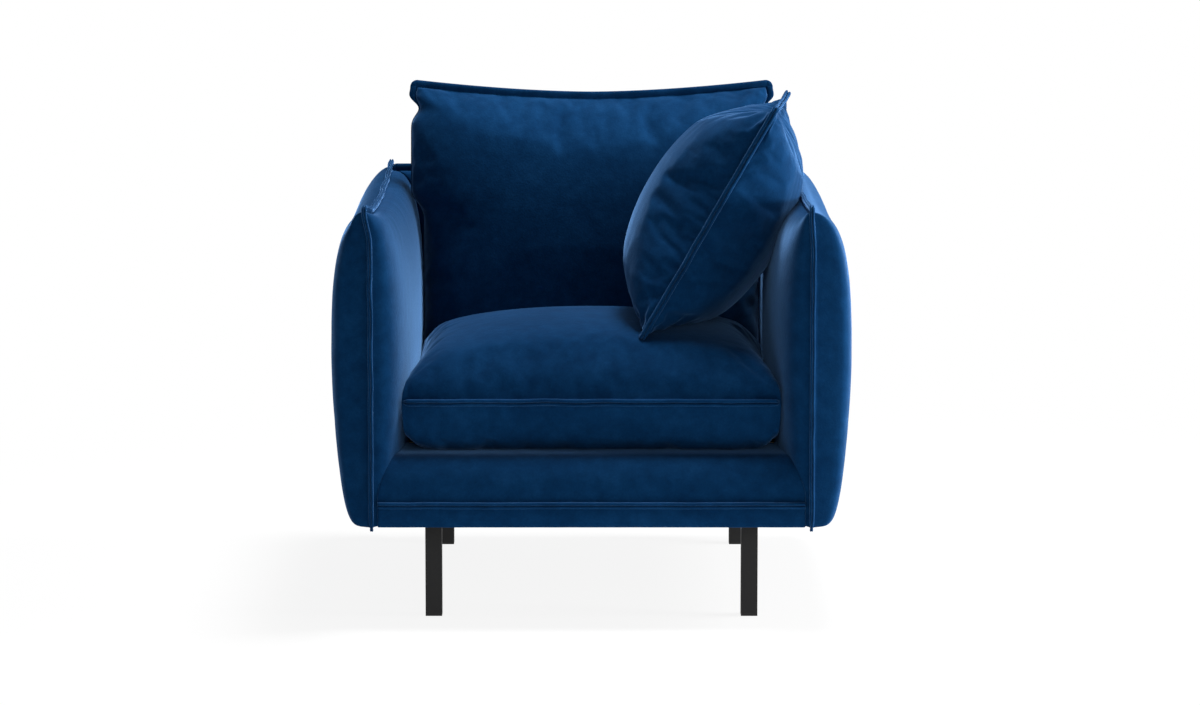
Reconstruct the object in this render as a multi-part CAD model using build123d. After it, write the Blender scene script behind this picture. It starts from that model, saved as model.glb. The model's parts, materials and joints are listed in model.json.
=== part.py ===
from build123d import *
import math
import os

# Upholstered lounge armchair with a loose seat cushion, back cushion and scatter cushion.
# Millimetres, +Z up, origin on the floor under the middle, the front faces -Y.
# Left and right are as seen from the front, so the left arm is at -X.

# Overall sizes
chair_width = 880.0
chair_depth = 880.0
leg_height = 172.0
arm_top = 705.0
back_cushion_top = 863.0

# Clearances and cloth
cover_thickness = 2.0
cover_gap = 0.4
cushion_gap = 2.0
assembly_gap = 0.25
drill_gap = 0.05
bolt_hole_gap = 0.5
sewn_edge = 5.0

# Arms: a stuffed slab around a sewn edge
arm_outer_swell = 71.0
arm_inner_swell = 54.0
arm_end_round = 85.0
arm_top_dip = 16.0
arm_fullness = 2.8

# Timber and board
timber = 36.0
timber_width = 45.0
panel = 3.0
rail = 25.0
rail_height = 71.0
arm_bottom_rail_height = 75.0
board = 22.0
front_board_width = 120.0
rear_board_width = 116.0
stretcher_width = 80.0
block_leg = 70.0
block_inset = 6.0
arm_frame_setback = 45.0
arm_frame_drop = 50.0
arm_frame_rise = 18.0
base_front_setback = 35.0
base_rear_setback = 75.0

# Back unit
back_inner_swell = 38.0
back_outer_swell = 45.0
back_side_wrap = 13.0
back_fullness = 3.2
back_top_drop = 4.0
strap_width = 50.0
strap_rise = 45.0
strap_thickness = 2.0
strap_count = 4

# Front border of the base
border_reach = 28.0
border_foot_reach = 21.0
border_seam_rise = 38.0
border_depth = 53.0
border_cloth_depth = 155.0
border_fullness = 3.0
rail_cushion = 8.0
nose_slope = 0.55
nose_start = 9.0
nose_reach = 5.0
pocket_reach = 2.0

# Springs and deck
spring_count = 5
spring_edge_gap = 92.0
spring_half = 24.0
spring_bars = 16
wire = 3.6
clip_sheet = 1.2
clip_width = 24.0
clip_reach = 8.0
clip_slack = 0.1
clip_heel = 1.2
felt = 3.6
felt_gap = 0.5
deck_pad_thickness = 9.4
deck_side_gap = 3.0
deck_rear_gap = 5.0
dust_margin = 6.0
dust_cut_gap = 2.0
cloth = 1.0

# Legs
leg_tube = 28.0
leg_wall = 2.0
leg_plate = 72.0
leg_plate_thickness = 3.0
leg_inset = 80.0
front_leg_setback = 105.0
rear_leg_setback = 90.0
glide_foot = 4.0
glide_plug = 14.0
glide_gap = 0.2
screw_offset = 26.0
screw_radius = 2.2
screw_hole_gap = 0.3
screw_length = 18.0
screw_head_radius = 4.5
screw_head = 2.4

# Bolts and dowels
bolt_radius = 4.0
bolt_head_radius = 10.0
bolt_head = 5.0
nut_radius = 5.0
nut_length = 12.0
nut_flange_radius = 11.0
nut_flange = 1.6
nut_gap = 0.1
bolt_margin = 10.0
back_bolt_inset = 75.0
dowel_radius = 4.0
dowel_half = 20.0
dowel_offset = 11.0

# Seat cushion
seat_seam_rise = 85.0
seat_crown = 120.0
seat_front_setback = 58.0
seat_draw = 6.0
seat_top_fullness = 2.2
seat_bottom_fullness = 4.0
seat_top_side_fullness = 2.1
seat_bottom_side_fullness = 5.0
seat_rear_gap = 15.0

# Back cushion
back_cushion_overhang = 12.0
back_cushion_side_gap = 3.0
back_cushion_rear_gap = 5.0
back_cushion_swell = 90.0
back_cushion_lean = 5.5
back_cushion_dip = 20.0
back_cushion_fullness = 2.4
back_cushion_side_fullness = 3.0

# Scatter cushion
scatter_size = 460.0
scatter_swell = 118.0
scatter_arm_swell = 98.0
scatter_lean = 30.0
scatter_turn = 5.0
scatter_draw = 14.0
scatter_fullness = 2.2
scatter_arm_gap = 4.0
scatter_sink = 35.0
scatter_rear_gap = 17.0

# Cushion cores
core_margin = 70.0
core_wrap = 16.0
scatter_core_wrap = 20.0

# Levels that follow from the sizes above
arm_bottom = leg_height - cover_thickness
arm_middle = (arm_top + arm_bottom) / 2
arm_seam_x = chair_width / 2 - arm_outer_swell
arm_inner_face = arm_seam_x - arm_inner_swell
frame_inner_x = arm_seam_x - timber / 2
frame_outer_x = arm_seam_x + timber / 2
arm_frame_end = chair_depth / 2 - arm_frame_setback
arm_frame_bottom = leg_height + arm_frame_rise
arm_frame_top = arm_top - arm_frame_drop
base_half = frame_inner_x - panel - assembly_gap
base_front = -chair_depth / 2 + base_front_setback
base_rear = chair_depth / 2 - base_rear_setback
board_top = leg_height + board
rail_top = board_top + rail_height
back_front_y = base_rear + assembly_gap
back_rear_y = back_front_y + timber
back_seam_y = (back_front_y + back_rear_y) / 2
back_inner_face = back_seam_y - back_inner_swell
back_frame_top = arm_frame_top
back_half = arm_inner_face - cushion_gap
back_frame_half = back_half - back_side_wrap
back_post_inner = back_frame_half - timber_width
wire_level = rail_top + clip_sheet + clip_slack + wire / 2
felt_bottom = wire_level + wire / 2 + felt_gap
pad_bottom = felt_bottom + felt
deck_top = pad_bottom + deck_pad_thickness + cover_thickness
deck_half = arm_inner_face - deck_side_gap
bolt_level = board_top + rail_height / 2
bolt_front_y = base_front + rail + block_leg + bolt_head_radius + bolt_margin
bolt_rear_y = base_rear - rail - block_leg - bolt_head_radius - bolt_margin
back_bolt_x = back_post_inner - back_bolt_inset
seat_half = arm_inner_face - cushion_gap
seat_seam = deck_top + cover_gap + seat_seam_rise
seat_front = -chair_depth / 2 + seat_front_setback
back_cushion_foot = deck_top + cushion_gap
back_cushion_mid_y = back_inner_face - back_cushion_rear_gap - back_cushion_swell
back_cushion_face = back_cushion_mid_y - back_cushion_swell
back_cushion_half = arm_inner_face + back_cushion_overhang
seat_rear = back_cushion_face - seat_rear_gap
lower_half = arm_inner_face - back_cushion_side_gap


def block(x_low, x_high, y_low, y_high, z_low, z_high):
    """Square-edged block between the given limits."""
    centre = Pos((x_low + x_high) / 2, (y_low + y_high) / 2, (z_low + z_high) / 2)
    return centre * Box(x_high - x_low, y_high - y_low, z_high - z_low)


def rod(start, direction, radius, length):
    """Round bar of the given length that starts at a point."""
    return extrude(Plane(origin=start, z_dir=direction) * Circle(radius), amount=length)


def rounding(share, power):
    """How much of the full swell is left at a share of the way to the sewn edge."""
    return max(0.0, 1.0 - abs(share) ** power) ** (1.0 / power)


def quarter(reach, swell, power):
    """Five points on a quarter of a stuffed outline, from the sewn edge to the fullest place."""
    points = []
    for angle in (0.0, 22.5, 45.0, 67.5, 90.0):
        turn = math.radians(angle)
        along = reach * max(0.0, math.cos(turn)) ** (2 / power)
        across = swell * max(0.0, math.sin(turn)) ** (2 / power)
        points.append((along, across))
    points[0] = (reach, 0.0)
    points[-1] = (0.0, swell)
    return points


def stuffed_face(plane, reach, reach_back, swell, swell_back, power, power_back):
    """Cut through a stuffed cover: sewn edges along the plane's X, swells along its Y."""
    first = quarter(reach, swell, power)
    second = [(-x, y) for x, y in quarter(reach_back, swell, power)][::-1]
    third = [(-x, -y) for x, y in quarter(reach_back, swell_back, power_back)]
    fourth = [(x, -y) for x, y in quarter(reach, swell_back, power_back)][::-1]
    points = first + second[1:] + third[1:] + fourth[1:]
    arcs = []
    for start, middle, stop in ((0, 1, 2), (2, 4, 6), (6, 7, 8), (8, 9, 10), (10, 12, 14), (14, 15, 16)):
        arcs.append(ThreePointArc(points[start], points[middle], points[stop]))
    return plane * Face(Wire(arcs))


def arm_form():
    """Right arm as a stuffed slab around its sewn edge."""
    half = chair_depth / 2
    edge = sewn_edge
    stations = []
    for angle in (90, 72, 54, 36, 18, 0):
        turn = math.radians(angle)
        stations.append((half - arm_end_round * (1 - math.sin(turn)), math.cos(turn)))
    places = [(-y, share) for y, share in stations] + [(0.0, 1.0)] + stations[::-1]
    faces = []
    for y, share in places:
        top = arm_top - arm_top_dip * (1 - (y / half) ** 2)
        plane = Plane(origin=(arm_seam_x, y, arm_middle), x_dir=(0, 0, 1), z_dir=(0, 1, 0))
        outer = edge + (arm_outer_swell - edge) * share
        inner = edge + (arm_inner_swell - edge) * share
        bottom = arm_middle - arm_bottom
        face = stuffed_face(plane, top - arm_middle, bottom, outer, inner, arm_fullness, arm_fullness)
        faces.append(face)
    return loft(faces, ruled=True)


def base_pocket(rear):
    """Room the base unit takes up between the arms and in front of the back unit."""
    wide = base_half + assembly_gap
    return block(-wide, wide, base_front - pocket_reach, rear, 0.0, deck_top + cover_gap)


def rear_board_pocket():
    """Room for the rear leg board under the back unit."""
    wide = base_half + assembly_gap
    low = base_rear - rear_board_width
    return block(-wide, wide, low, back_rear_y + assembly_gap, 0.0, board_top)


def back_form():
    """Back unit as a stuffed slab between the inner faces of the arms."""
    middle = (arm_top - back_top_drop + arm_bottom) / 2
    reach = (arm_top - back_top_drop - arm_bottom) / 2
    plane = Plane(origin=(-back_half, back_seam_y, middle), x_dir=(0, 0, 1), z_dir=(1, 0, 0))
    face = stuffed_face(
        plane, reach, reach, back_inner_swell, back_outer_swell, back_fullness, back_fullness
    )
    return extrude(face, amount=2 * back_half, dir=(1, 0, 0))


def border_form():
    """Front border of the base: a foam roll over the front rail under a sewn cover."""
    foot = (base_front - border_foot_reach, arm_bottom)
    seam_level = arm_bottom + border_seam_rise
    crest_y = base_front + border_depth
    roll = quarter(border_depth + border_reach, deck_top - seam_level, border_fullness)
    points = [(crest_y - along, seam_level + across) for along, across in roll]
    cloth_rear = base_front + border_cloth_depth
    cloth_low = deck_top - cover_thickness
    over_rail = rail_top + rail_cushion
    behind = base_front - assembly_gap
    line_points = [
        points[4], (cloth_rear, deck_top), (cloth_rear, cloth_low), (crest_y, cloth_low),
        (crest_y, over_rail), (behind, over_rail), (behind, arm_bottom), foot, points[0],
    ]
    edges = [
        ThreePointArc(points[0], points[1], points[2]),
        ThreePointArc(points[2], points[3], points[4]),
    ]
    for start, stop in zip(line_points[:-1], line_points[1:]):
        edges.append(Line(start, stop))
    half = base_half
    plane = Plane(origin=(-half, 0, 0), x_dir=(0, 1, 0), z_dir=(1, 0, 0))
    form = extrude(plane * Face(Wire(edges)), amount=2 * half, dir=(1, 0, 0))
    for side in (-1, 1):
        form -= arm_nose(side)
    return form


def arm_nose(side):
    """Wedge beside the base that keeps its border off the rounded front end of an arm."""
    inner = arm_inner_face - cushion_gap
    front = -chair_depth / 2 - nose_reach
    rear = chair_depth / 2
    corner_y = base_front + nose_start
    spread = inner + (corner_y - front) * nose_slope
    outer = chair_width / 2
    outline = [(inner, rear), (inner, corner_y), (spread, front), (outer, front), (outer, rear)]
    points = [(side * x, y) for x, y in outline]
    face = Plane(origin=(0, 0, 0)) * Face(Wire.make_polygon(points))
    return extrude(face, amount=arm_top, dir=(0, 0, 1))


def seat_form():
    """Seat cushion: high crown above its seam, boxed below it, drawn in along its sides."""
    half = seat_half
    middle_y = (seat_front + seat_rear) / 2
    reach = (seat_rear - seat_front) / 2
    edge = sewn_edge
    faces = []
    for angle in range(-90, 91, 15):
        share = math.sin(math.radians(angle))
        plane = Plane(origin=(half * share, middle_y, seat_seam), x_dir=(0, 1, 0), z_dir=(1, 0, 0))
        length = reach - seat_draw * (1 - share * share)
        top = edge + (seat_crown - edge) * rounding(share, seat_top_side_fullness)
        bottom = edge + (seat_seam_rise - edge) * rounding(share, seat_bottom_side_fullness)
        face = stuffed_face(plane, length, length, top, bottom, seat_top_fullness, seat_bottom_fullness)
        faces.append(face)
    return loft(faces, ruled=True)


def back_cushion_form():
    """Back cushion: stands on the deck, leans back, widens over the arms, dips along its top."""
    lean = math.radians(back_cushion_lean)
    tall = (back_cushion_top - back_cushion_foot) / math.cos(lean)
    mid_level = back_cushion_foot + tall / 2 * math.cos(lean)
    edge = sewn_edge
    wide = back_cushion_half
    low = lower_half
    over_arm = (arm_middle + (arm_top - arm_middle) * 0.85 - back_cushion_foot) / math.cos(lean)
    stations = [(low * share, 0.0) for share in (0.0, 0.3, 0.55, 0.75, 0.9, 1.0)]
    stations += [(low + 1.0, over_arm * 0.92), (wide, over_arm)]
    places = [(-x, rise) for x, rise in stations[:0:-1]] + stations
    faces = []
    for x, rise in places:
        share = x / wide
        dip = back_cushion_dip * (1 - share * share)
        head = tall / 2 - dip
        foot = tall / 2 - rise
        middle = (head - foot) / 2
        reach = (head + foot) / 2
        shift = Vector(0, math.sin(lean), math.cos(lean)) * middle
        origin = Vector(x, back_cushion_mid_y, mid_level) + shift
        plane = Plane(origin=origin, x_dir=(0, math.sin(lean), math.cos(lean)), z_dir=(1, 0, 0))
        swell = edge + (back_cushion_swell - edge) * rounding(share, back_cushion_side_fullness)
        faces.append(
            stuffed_face(plane, reach, reach, swell, swell, back_cushion_fullness, back_cushion_fullness)
        )
    return loft(faces, ruled=True)


def scatter_form():
    """Square scatter cushion on the seat, leaning on the right arm, edge-on to the front."""
    half = scatter_size / 2
    edge = sewn_edge
    faces = []
    for angle in range(-90, 91, 15):
        share = math.sin(math.radians(angle))
        plane = Plane(origin=(half * share, 0, 0), x_dir=(0, 1, 0), z_dir=(1, 0, 0))
        reach = half - scatter_draw * (1 - share * share)
        round_share = rounding(share, scatter_fullness)
        free = edge + (scatter_swell - edge) * round_share
        pressed = edge + (scatter_arm_swell - edge) * round_share
        faces.append(stuffed_face(plane, reach, reach, free, pressed, scatter_fullness, scatter_fullness))
    lean = math.radians(scatter_lean)
    turn = math.radians(scatter_turn)
    up = Vector(math.sin(lean), 0, math.cos(lean))
    back = Vector(math.sin(turn) * math.cos(lean), math.cos(turn), -math.sin(turn) * math.sin(lean))
    centre = scatter_centre(lean)
    place = Plane(origin=centre, x_dir=up, z_dir=up.cross(back))
    return place * loft(faces, ruled=True) - seat_rest(centre.X - scatter_size * 0.15), place


def scatter_centre(lean):
    """Middle of the scatter cushion, whose edge sinks into the seat and whose back meets the arm."""
    level = seat_seam + seat_crown + scatter_size / 2 * math.cos(lean) - scatter_sink
    power = arm_fullness / (arm_fullness - 1)
    shoulder_width = arm_inner_swell * math.cos(lean)
    shoulder_rise = (arm_top - arm_top_dip - arm_middle) * math.sin(lean)
    shoulder = (shoulder_width ** power + shoulder_rise ** power) ** (1 / power)
    contact = arm_middle * math.sin(lean) - arm_seam_x * math.cos(lean) + shoulder
    x = (level * math.sin(lean) - contact - scatter_arm_swell - scatter_arm_gap) / math.cos(lean)
    y = back_cushion_face - scatter_size / 2 - scatter_rear_gap
    return Vector(x, y, level)


def seat_rest(x):
    """Round hollow that the seat's crown presses into a cushion lying on it around the given X."""
    reach = (seat_rear - seat_front) / 2
    flank = reach * 0.5 ** (1 / seat_top_fullness)
    sag = seat_crown * (1 - 0.5 ** (1 / seat_top_fullness))
    radius = (flank * flank + sag * sag) / (2 * sag) * 1.08
    share = x / seat_half
    level = seat_seam + seat_crown * rounding(share, seat_top_side_fullness)
    ahead = seat_seam + seat_crown * rounding(share + 0.03, seat_top_side_fullness)
    behind = seat_seam + seat_crown * rounding(share - 0.03, seat_top_side_fullness)
    slope = (ahead - behind) / (0.06 * seat_half)
    along = Vector(1, 0, slope).normalized()
    upright = Vector(-slope, 0, 1).normalized()
    touch = Vector(x, (seat_front + seat_rear) / 2, level) + upright * cushion_gap
    start = touch - upright * radius - along * chair_width
    return rod(start, along, radius, 2 * chair_width)


def spring(x):
    """One sinuous spring from the front rail to the rear rail."""
    start = base_front + rail / 2
    stop = base_rear - rail / 2
    step = (stop - start) / spring_bars
    points = []
    for bar in range(spring_bars + 1):
        side = spring_half if bar % 2 == 0 else -spring_half
        y = start + step * bar
        points.append((x - side, y, wire_level))
        points.append((x + side, y, wire_level))
    path = FilletPolyline(*points, radius=step * 0.45)
    section = Plane(origin=points[0], z_dir=(1, 0, 0)) * Circle(wire / 2)
    return sweep(section, path)


def clip(x, y, facing):
    """Folded sheet clip that holds the end bar of a spring on a rail."""
    low = rail_top
    inside_low = low + clip_sheet
    inside_high = wire_level + wire / 2 + clip_slack
    high = inside_high + clip_sheet
    heel = wire / 2 + clip_heel
    outline = [
        (clip_reach, low), (-heel - clip_sheet, low), (-heel - clip_sheet, high), (clip_reach, high),
        (clip_reach, inside_high), (-heel, inside_high), (-heel, inside_low), (clip_reach, inside_low),
    ]
    points = [(y + facing * along, level) for along, level in outline]
    plane = Plane(origin=(x - clip_width / 2, 0, 0), x_dir=(0, 1, 0), z_dir=(1, 0, 0))
    return extrude(plane * Face(Wire.make_polygon(points)), amount=clip_width, dir=(1, 0, 0))


def bolt(start, direction):
    """Flanged bolt whose head bears on a rail at the start point."""
    toward = Vector(direction)
    length = rail + assembly_gap + timber - nut_flange
    if abs(toward.X) > 0.5:
        length += panel
    shank = rod(start, direction, bolt_radius, length)
    head = rod(Vector(start) - toward * bolt_head, direction, bolt_head_radius, bolt_head)
    return shank + head


def tee_nut(face_point, direction):
    """Flanged nut let into the far face of a frame rail."""
    toward = Vector(direction)
    flange = rod(Vector(face_point) - toward * nut_flange, direction, nut_flange_radius, nut_flange)
    barrel = rod(Vector(face_point) - toward * nut_length, direction, nut_radius, nut_length)
    inside = Vector(face_point) - toward * (nut_length + 1)
    bore = rod(inside, direction, bolt_radius + drill_gap, nut_length + 2)
    return flange + barrel - bore


def nut_seat(face_point, direction):
    """Hole for a flanged nut in a frame rail."""
    toward = Vector(direction)
    flange_start = Vector(face_point) - toward * nut_flange
    flange = rod(flange_start, direction, nut_flange_radius + nut_gap, nut_flange + 1)
    barrel_start = Vector(face_point) - toward * nut_length
    barrel = rod(barrel_start, direction, nut_radius + nut_gap, nut_length + 1)
    return flange + barrel


def screw(x, y):
    """Pan-head wood screw that goes up through a leg plate."""
    under = leg_height - leg_plate_thickness
    shank = rod((x, y, under), (0, 0, 1), screw_radius, screw_length)
    head = rod((x, y, under - screw_head), (0, 0, 1), screw_head_radius, screw_head)
    return shank + head


def leg(x, y):
    """Square steel tube leg with a plate welded on top."""
    under = leg_height - leg_plate_thickness
    half = leg_tube / 2
    inner = half - leg_wall
    tube = block(x - half, x + half, y - half, y + half, glide_foot, under)
    tube -= block(x - inner, x + inner, y - inner, y + inner, glide_foot - 1, under)
    wide = leg_plate / 2
    shape = tube + block(x - wide, x + wide, y - wide, y + wide, under, leg_height)
    for side_x in (-screw_offset, screw_offset):
        for side_y in (-screw_offset, screw_offset):
            start = (x + side_x, y + side_y, under - 1)
            shape -= rod(start, (0, 0, 1), screw_radius + screw_hole_gap, leg_plate_thickness + 2)
    return shape


def glide(x, y):
    """Plastic foot with a plug that sits inside the leg tube."""
    half = leg_tube / 2
    inner = half - leg_wall - glide_gap
    foot = block(x - half, x + half, y - half, y + half, 0, glide_foot)
    return foot + block(x - inner, x + inner, y - inner, y + inner, glide_foot, glide_foot + glide_plug)


def corner_block(side_x, side_y):
    """Three-cornered glue block in an inside corner of the base."""
    x = side_x * (base_half - rail)
    y = base_front + rail if side_y < 0 else base_rear - rail
    points = [(x, y), (x - side_x * block_leg, y), (x, y - side_y * block_leg)]
    plane = Plane(origin=(0, 0, board_top + block_inset))
    tall = rail_height - 2 * block_inset
    return extrude(plane * Face(Wire.make_polygon(points)), amount=tall, dir=(0, 0, 1))


front_leg_y = -chair_depth / 2 + front_leg_setback
rear_leg_y = chair_depth / 2 - rear_leg_setback
leg_x_place = base_half - leg_inset
leg_places = {
    "leg_front_left": (-leg_x_place, front_leg_y),
    "leg_front_right": (leg_x_place, front_leg_y),
    "leg_rear_left": (-leg_x_place, rear_leg_y),
    "leg_rear_right": (leg_x_place, rear_leg_y),
}
nodes = {}

# Legs, glides and screws
screws = []
screw_holes = []
glides = []
for name, (leg_x, leg_y) in leg_places.items():
    nodes[name] = leg(leg_x, leg_y)
    glides.append(glide(leg_x, leg_y))
    for step_x in (-screw_offset, screw_offset):
        for step_y in (-screw_offset, screw_offset):
            screws.append(screw(leg_x + step_x, leg_y + step_y))
            foot_of_hole = (leg_x + step_x, leg_y + step_y, leg_height - 1)
            screw_holes.append(rod(foot_of_hole, (0, 0, 1), screw_radius + drill_gap, screw_length))
nodes["leg_glides"] = glides
nodes["leg_screws"] = screws

# Bolts that hold the arms and the back unit to the base
bolts = []
tee_nuts = []
bolt_holes = []
nut_seats = []
for side in (-1, 1):
    for place_y in (bolt_front_y, (bolt_front_y + bolt_rear_y) / 2, bolt_rear_y):
        direction = (side, 0, 0)
        start = (side * (base_half - rail), place_y, bolt_level)
        end = (side * frame_outer_x, place_y, bolt_level)
        bolts.append(bolt(start, direction))
        tee_nuts.append(tee_nut(end, direction))
        reach = frame_outer_x - base_half + rail - nut_length
        bolt_holes.append(rod(start, direction, bolt_radius + bolt_hole_gap, reach))
        nut_seats.append(nut_seat(end, direction))
for place_x in (-back_bolt_x, 0.0, back_bolt_x):
    direction = (0, 1, 0)
    start = (place_x, base_rear - rail, bolt_level)
    end = (place_x, back_rear_y, bolt_level)
    bolts.append(bolt(start, direction))
    tee_nuts.append(tee_nut(end, direction))
    reach = back_rear_y - base_rear + rail - nut_length
    bolt_holes.append(rod(start, direction, bolt_radius + bolt_hole_gap, reach))
    nut_seats.append(nut_seat(end, direction))
nodes["frame_bolts"] = bolts
nodes["tee_nuts"] = tee_nuts
fixings = bolt_holes + nut_seats

# Dowels in the corner joints of the arm frames and the back frame
dowels = []
dowel_holes = []
arm_joint_levels = (arm_frame_bottom + arm_bottom_rail_height / 2, arm_frame_top - timber_width / 2)
for side in (-1, 1):
    for end_y in (-1, 1):
        for level in arm_joint_levels:
            for step_z in (-dowel_offset, dowel_offset):
                joint_y = end_y * (arm_frame_end - timber_width) - dowel_half
                centre_line = (side * arm_seam_x, joint_y, level + step_z)
                dowels.append(rod(centre_line, (0, 1, 0), dowel_radius, 2 * dowel_half))
                dowel_holes.append(rod(centre_line, (0, 1, 0), dowel_radius + drill_gap, 2 * dowel_half))
for side in (-1, 1):
    for level in (bolt_level, back_frame_top - timber_width / 2):
        for step_z in (-dowel_offset, dowel_offset):
            joint_x = side * back_post_inner - dowel_half
            centre_line = (joint_x, back_seam_y, level + step_z)
            dowels.append(rod(centre_line, (1, 0, 0), dowel_radius, 2 * dowel_half))
            dowel_holes.append(rod(centre_line, (1, 0, 0), dowel_radius + drill_gap, 2 * dowel_half))
nodes["frame_dowels"] = dowels


def drilled(shape, holes):
    """Take every hole that reaches a piece out of it."""
    box = shape.bounding_box()
    for hole in holes:
        hole_box = hole.bounding_box()
        apart_x = hole_box.min.X > box.max.X or hole_box.max.X < box.min.X
        apart_y = hole_box.min.Y > box.max.Y or hole_box.max.Y < box.min.Y
        apart_z = hole_box.min.Z > box.max.Z or hole_box.max.Z < box.min.Z
        if not (apart_x or apart_y or apart_z):
            shape -= hole
    return shape


# Base unit
front_board_rear = base_front + front_board_width
rear_board_front = back_rear_y - rear_board_width
front_board = block(-base_half, base_half, base_front, front_board_rear, leg_height, board_top)
rear_board = block(-base_half, base_half, rear_board_front, back_rear_y, leg_height, board_top)
nodes["front_leg_board"] = drilled(front_board, screw_holes)
nodes["rear_leg_board"] = drilled(rear_board, screw_holes)
half_stretcher = stretcher_width / 2
nodes["base_stretcher"] = block(
    -base_half, base_half, -half_stretcher, half_stretcher, leg_height, board_top
)
nodes["front_rail"] = block(-base_half, base_half, base_front, base_front + rail, board_top, rail_top)
rear_rail = block(-base_half, base_half, base_rear - rail, base_rear, board_top, rail_top)
nodes["rear_rail"] = drilled(rear_rail, fixings)
for name, side in (("left", -1), ("right", 1)):
    edges_x = sorted((side * (base_half - rail), side * base_half))
    side_rail = block(edges_x[0], edges_x[1], base_front + rail, base_rear - rail, board_top, rail_top)
    nodes["side_rail_" + name] = drilled(side_rail, fixings)
nodes["corner_blocks"] = [corner_block(x, y) for x in (-1, 1) for y in (-1, 1)]

# Springs and deck
outer_spring = deck_half - spring_edge_gap
spring_spacing = 2 * outer_spring / (spring_count - 1)
spring_places = [spring_spacing * number - outer_spring for number in range(spring_count)]
nodes["sinuous_springs"] = [spring(x) for x in spring_places]
clips = []
for x in spring_places:
    clips.append(clip(x, base_front + rail / 2, 1))
    clips.append(clip(x, base_rear - rail / 2, -1))
nodes["spring_clips"] = clips
deck_rear = base_rear - rail - deck_rear_gap
pad_front = base_front + border_depth + felt_gap
nodes["insulator_felt"] = block(-deck_half, deck_half, pad_front, deck_rear, felt_bottom, pad_bottom)
pad_top = deck_top - cover_thickness
nodes["deck_pad"] = block(-deck_half, deck_half, pad_front, deck_rear, pad_bottom, pad_top)
cloth_front = base_front + border_cloth_depth
nodes["deck_cloth"] = block(-deck_half, deck_half, cloth_front, deck_rear, pad_top, deck_top)

# Front border of the base
nodes["front_border"] = border_form()

# Dust cover under the base, cut out around the leg plates
dust_half = base_half - dust_margin
dust_front = base_front + dust_margin
dust_rear = back_rear_y - dust_margin
dust = block(-dust_half, dust_half, dust_front, dust_rear, leg_height - cloth, leg_height)
for leg_x, leg_y in leg_places.values():
    cut = leg_plate / 2 + dust_cut_gap
    dust -= block(leg_x - cut, leg_x + cut, leg_y - cut, leg_y + cut, leg_height - 2 * cloth, board_top)
nodes["dust_cover"] = dust

# Arm units
arm_core = block(
    frame_inner_x - panel, frame_outer_x + panel, -arm_frame_end, arm_frame_end,
    arm_frame_bottom, arm_frame_top,
)
arm_upholstery = arm_form() - arm_core - base_pocket(back_rear_y + assembly_gap)
arm_sides = {"left": -1, "right": 1}
for name, side in arm_sides.items():
    xs = sorted((side * frame_inner_x, side * frame_outer_x))
    post_in = arm_frame_end - timber_width
    arm_rail_top = arm_frame_bottom + arm_bottom_rail_height
    pieces = {
        "arm_front_post_": block(xs[0], xs[1], -arm_frame_end, -post_in, arm_frame_bottom, arm_frame_top),
        "arm_rear_post_": block(xs[0], xs[1], post_in, arm_frame_end, arm_frame_bottom, arm_frame_top),
        "arm_top_rail_": block(xs[0], xs[1], -post_in, post_in, arm_frame_top - timber_width, arm_frame_top),
        "arm_bottom_rail_": block(xs[0], xs[1], -post_in, post_in, arm_frame_bottom, arm_rail_top),
    }
    inner_x = sorted((side * (frame_inner_x - panel), side * frame_inner_x))
    outer_x = sorted((side * frame_outer_x, side * (frame_outer_x + panel)))
    ends = (-arm_frame_end, arm_frame_end, arm_frame_bottom, arm_frame_top)
    pieces["arm_inner_panel_"] = block(inner_x[0], inner_x[1], *ends)
    pieces["arm_outer_panel_"] = block(outer_x[0], outer_x[1], *ends)
    for stem, shape in pieces.items():
        nodes[stem + name] = drilled(shape, fixings + dowel_holes)
    if side > 0:
        nodes["arm_upholstery_" + name] = arm_upholstery
    else:
        nodes["arm_upholstery_" + name] = mirror(arm_upholstery, about=Plane.YZ)

# Back unit
for name, side in arm_sides.items():
    xs = sorted((side * back_post_inner, side * back_frame_half))
    post = block(xs[0], xs[1], back_front_y, back_rear_y, board_top, back_frame_top)
    nodes["back_post_" + name] = drilled(post, dowel_holes)
back_rail_low = back_frame_top - timber_width
top_rail = block(
    -back_post_inner, back_post_inner, back_front_y, back_rear_y, back_rail_low, back_frame_top
)
nodes["back_top_rail"] = drilled(top_rail, dowel_holes)
bottom_rail = block(-back_post_inner, back_post_inner, back_front_y, back_rear_y, board_top, rail_top)
nodes["back_bottom_rail"] = drilled(bottom_rail, fixings + dowel_holes)
back_panel_y = back_rear_y + panel
nodes["back_panel"] = block(
    -back_frame_half, back_frame_half, back_rear_y, back_panel_y, board_top, back_frame_top
)
strap_low = deck_top + strap_rise
strap_step = (back_rail_low - strap_low - strap_width) / (strap_count - 1)
strap_front_y = back_front_y - strap_thickness
straps = []
for number in range(strap_count):
    low = strap_low + strap_step * number
    high = low + strap_width
    straps.append(block(-back_frame_half, back_frame_half, strap_front_y, back_front_y, low, high))
nodes["back_webbing"] = straps
back_core = block(
    -back_frame_half, back_frame_half, strap_front_y, back_panel_y, board_top, back_frame_top
)
back_cover = back_form() - back_core - base_pocket(back_front_y) - rear_board_pocket()
nodes["back_upholstery"] = back_cover

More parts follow.
